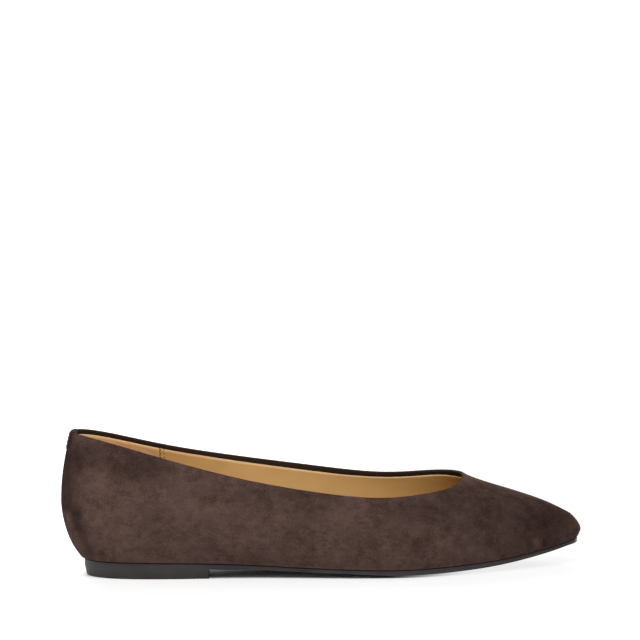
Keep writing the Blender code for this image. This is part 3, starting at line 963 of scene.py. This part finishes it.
class FLAT_OT_stitches(bpy.types.Operator):
    """Sews the two rows beside the heel grip's seam and the row round the back tab"""

    bl_idname = "ballet_flat.stitches"
    bl_label = "Stitches"
    seam_heights = np.arange(12, 66, 0.5) * MM  # of the rays that look for the lining
    tab_steps = 40  # rays along each side of the tab
    stand_off = 10 * MM  # where those rays start, behind the heel
    sink = 0.6  # how deep a stitch's ends lie, in thicknesses of the thread

    def execute(self, context):
        look = context.scene.flat_stitch
        brown = thread_finish("brown_thread", look.brown)
        self.sew("lining_stitches", look, self.seam_rows(look), "lining_leather", brown)
        dark = thread_finish("dark_thread", look.dark)
        self.sew("tab_stitches", look, [self.tab_row(look)], "suede", dark)
        return {"FINISHED"}

    def seam_rows(self, look):
        """Rows up both sides of the lining, in front of the heel grip's seam."""
        seam = HEEL_X + bpy.context.scene.flat_lining.seam_along
        lining = bpy.data.objects["vamp_lining"]
        rows = []
        for forward in (look.near_row, look.far_row):
            for side in (OUTER, INNER):
                starts = [Vector((seam + forward, 0.0, z)) for z in self.seam_heights]
                rows.append(self.hits(lining, starts, Vector((0.0, side, 0.0))))
        return rows

    def tab_row(self, look):
        """A row down one side of the tab, along its lower end and up the other side."""
        tab = bpy.data.objects["suede_tab"]
        points = points_of(tab)
        middle = points[points[:, 0].argmin(), 1]
        reach = points[:, 1].max() - look.tab_margin - middle
        low = points[:, 2].min() + look.tab_margin
        high = points[:, 2].max() - look.tab_margin
        corners = ((-reach, high), (-reach, low), (reach, low), (reach, high))
        starts = []
        for (y0, z0), (y1, z1) in zip(corners, corners[1:]):
            for share in np.linspace(0.0, 1.0, self.tab_steps, endpoint=False):
                y = middle + y0 + share * (y1 - y0)
                starts.append(Vector((HEEL_X - self.stand_off, y, z0 + share * (z1 - z0))))
        return self.hits(tab, starts, Vector((1.0, 0.0, 0.0)))

    def hits(self, piece, starts, way):
        """Points and normals where rays meet a piece."""
        bpy.context.view_layer.update()
        found = []
        for start in starts:
            hit, point, normal, _ = piece.ray_cast(start, way)
            if hit:
                found.append((point, normal))
        if len(found) < 2:
            raise RuntimeError("no room for stitches on " + piece.name)
        return found

    def one_stitch(self, look):
        """A thread that rises from one hole and sinks into the next."""
        bpy.ops.object.select_all(action="DESELECT")
        bpy.ops.mesh.primitive_uv_sphere_add(segments=10, ring_count=8, radius=0.5)
        stitch = bpy.context.active_object
        points = points_of(stitch)[:, [2, 0, 1]]
        points[:, 0] = 0.5 * np.sin(points[:, 0] * math.pi)
        points *= (look.length, look.thickness, look.thickness)
        points[:, 2] -= self.sink * look.thickness * (2.0 * points[:, 0] / look.length) ** 2
        set_points(stitch, points)
        return stitch

    def sew(self, name, look, rows, slot, material):
        """Copies one stitch along rows of points and joins the copies."""
        first = self.one_stitch(look)
        for row in rows:
            since = look.spacing
            for (start, _), (end, normal) in zip(row, row[1:]):
                way = end - start
                since += way.length
                if since < look.spacing:
                    continue
                since = 0.0
                only(first)
                bpy.ops.object.duplicate()
                copy = bpy.context.active_object
                along = (way - way.project(normal)).normalized()
                turn = Matrix((along, normal.cross(along), normal)).transposed()
                copy.matrix_world = Matrix.Translation(end) @ turn.to_4x4()
                copy.name = name
        bpy.data.objects.remove(first)
        stitches = [thing for thing in bpy.data.objects if thing.name.split(".")[0] == name]
        bpy.ops.object.select_all(action="DESELECT")
        for stitch in stitches:
            stitch.select_set(True)
        bpy.context.view_layer.objects.active = stitches[0]
        bpy.ops.object.join()
        bpy.ops.object.transform_apply(location=True, rotation=True, scale=True)
        bpy.ops.object.shade_smooth()
        joined = bpy.context.active_object
        joined.name = name
        place_piece(joined, [], material)


class FLAT_OT_stage(bpy.types.Operator):
    """Sets the pale floor, the soft light and the camera"""

    bl_idname = "ballet_flat.stage"
    bl_label = "Stage"

    def execute(self, context):
        look = context.scene.flat_stage
        self.lay_floor(look)
        self.light_room(look)
        self.add_sun("key_light", look.key, azimuth=-6, elevation=56, spread=50)
        self.add_sun("back_light", look.rim, azimuth=180, elevation=26, spread=40)
        self.add_sun("low_light", look.low, azimuth=140, elevation=6, spread=7)
        self.set_camera(look)
        context.scene.view_settings.view_transform = "Standard"
        return {"FINISHED"}

    def lay_floor(self, look):
        bpy.ops.object.select_all(action="DESELECT")
        bpy.ops.mesh.primitive_circle_add(vertices=64, radius=200.0, fill_type="NGON")
        floor = bpy.context.active_object
        floor.name = "floor"
        # Painted light: toward the toe the floor glows, lifting the shadow there, and reflects less to
        # keep its brightness
        finish = Finish("floor", Specular_IOR_Level=0.0, Roughness=1.0, Emission_Strength=1.0)
        glow_share = finish.ramp(finish.along(), look.glow_start, look.glow_full, 0.0, look.glow_share)
        unlit = (0.0, 0.0, 0.0)
        colour = finish.mix(look.floor, unlit, glow_share)
        glow = finish.mix(unlit, look.floor, glow_share)
        floor.data.materials.append(finish.paint(Base_Color=colour, Emission_Color=glow))

    def light_room(self, look):
        """A room with pale walls and a darker ceiling."""
        world = bpy.data.worlds.new("room")
        bpy.context.scene.world = world
        world.use_nodes = True
        nodes, links = world.node_tree.nodes, world.node_tree.links
        way = nodes.new("ShaderNodeTexCoord").outputs["Generated"]
        height = nodes.new("ShaderNodeSeparateXYZ")
        links.new(way, height.inputs[0])
        fade = nodes.new("ShaderNodeMapRange")
        fade.inputs["To Min"].default_value = look.horizon
        fade.inputs["To Max"].default_value = look.zenith
        links.new(height.outputs[2], fade.inputs["Value"])
        links.new(fade.outputs[0], nodes["Background"].inputs["Strength"])
        nodes["Background"].inputs["Color"].default_value = (1.0, 1.0, 1.0, 1.0)

    def add_sun(self, name, strength, azimuth, elevation, spread):
        """A soft light; azimuth 0 shines along +Y and 90 along -X."""
        turn = (math.radians(90 - elevation), 0.0, math.radians(azimuth))
        bpy.ops.object.light_add(type="SUN", rotation=turn)
        sun = bpy.context.active_object
        sun.name = name
        sun.data.energy = strength
        sun.data.angle = math.radians(spread)

    def set_camera(self, look):
        """Stands the camera so that the shoe has its place in the frame."""
        frame_pixels = 640
        middle = frame_pixels / 2
        floor_row = 569.3  # row of the frame where the floor under the shoe's middle lies
        side_shift = 2.1  # pixels from the frame's middle to the shoe's
        ahead = Vector((0.0, math.cos(look.pitch), -math.sin(look.pitch)))
        up = Vector((0.0, math.sin(look.pitch), math.cos(look.pitch)))
        right = Vector((1.0, 0.0, 0.0))
        lift = (floor_row - middle) * look.pixel
        place = lift * up - look.distance * ahead
        place += (lift * math.sin(look.roll) - side_shift * look.pixel) * right
        right, up = (
            right * math.cos(look.roll) - up * math.sin(look.roll),
            up * math.cos(look.roll) + right * math.sin(look.roll),
        )
        bpy.ops.object.camera_add()
        camera = bpy.context.active_object
        turn = Matrix((right, up, -ahead)).transposed()
        camera.matrix_world = Matrix.Translation(place) @ turn.to_4x4()
        camera.data.sensor_width = 36.0
        camera.data.lens = camera.data.sensor_width * look.distance / (frame_pixels * look.pixel)
        camera.data.clip_end = 500.0
        bpy.context.scene.camera = camera


SETTINGS = {
    "flat_suede": SuedeSettings,
    "flat_lining": LiningSettings,
    "flat_sole": SoleSettings,
    "flat_stitch": StitchSettings,
    "flat_stage": StageSettings,
}
OPERATORS = (
    FLAT_OT_upper,
    FLAT_OT_lining,
    FLAT_OT_sock,
    FLAT_OT_outsole,
    FLAT_OT_heel,
    FLAT_OT_back_tab,
    FLAT_OT_stitches,
    FLAT_OT_stage,
)


class FLAT_PT_panel(bpy.types.Panel):
    """Lists the settings and the pieces in the order they are made"""

    bl_label = "Ballet Flat"
    bl_space_type = "VIEW_3D"
    bl_region_type = "UI"
    bl_category = "Ballet Flat"

    def draw(self, context):
        for name in SETTINGS:
            box = self.layout.box()
            group = getattr(context.scene, name)
            for setting in group.__annotations__:
                box.prop(group, setting)
        for operator in OPERATORS:
            self.layout.operator(operator.bl_idname)


def register():
    for kind in (*SETTINGS.values(), *OPERATORS, FLAT_PT_panel):
        bpy.utils.register_class(kind)
    for name, kind in SETTINGS.items():
        setattr(bpy.types.Scene, name, PointerProperty(type=kind))


def unregister():
    for name in SETTINGS:
        delattr(bpy.types.Scene, name)
    for kind in (FLAT_PT_panel, *reversed(OPERATORS), *reversed(SETTINGS.values())):
        bpy.utils.unregister_class(kind)


def main():
    register()
    for operator in OPERATORS:
        category, name = operator.bl_idname.split(".")
        getattr(getattr(bpy.ops, category), name)()


if __name__ == "__main__":
    main()
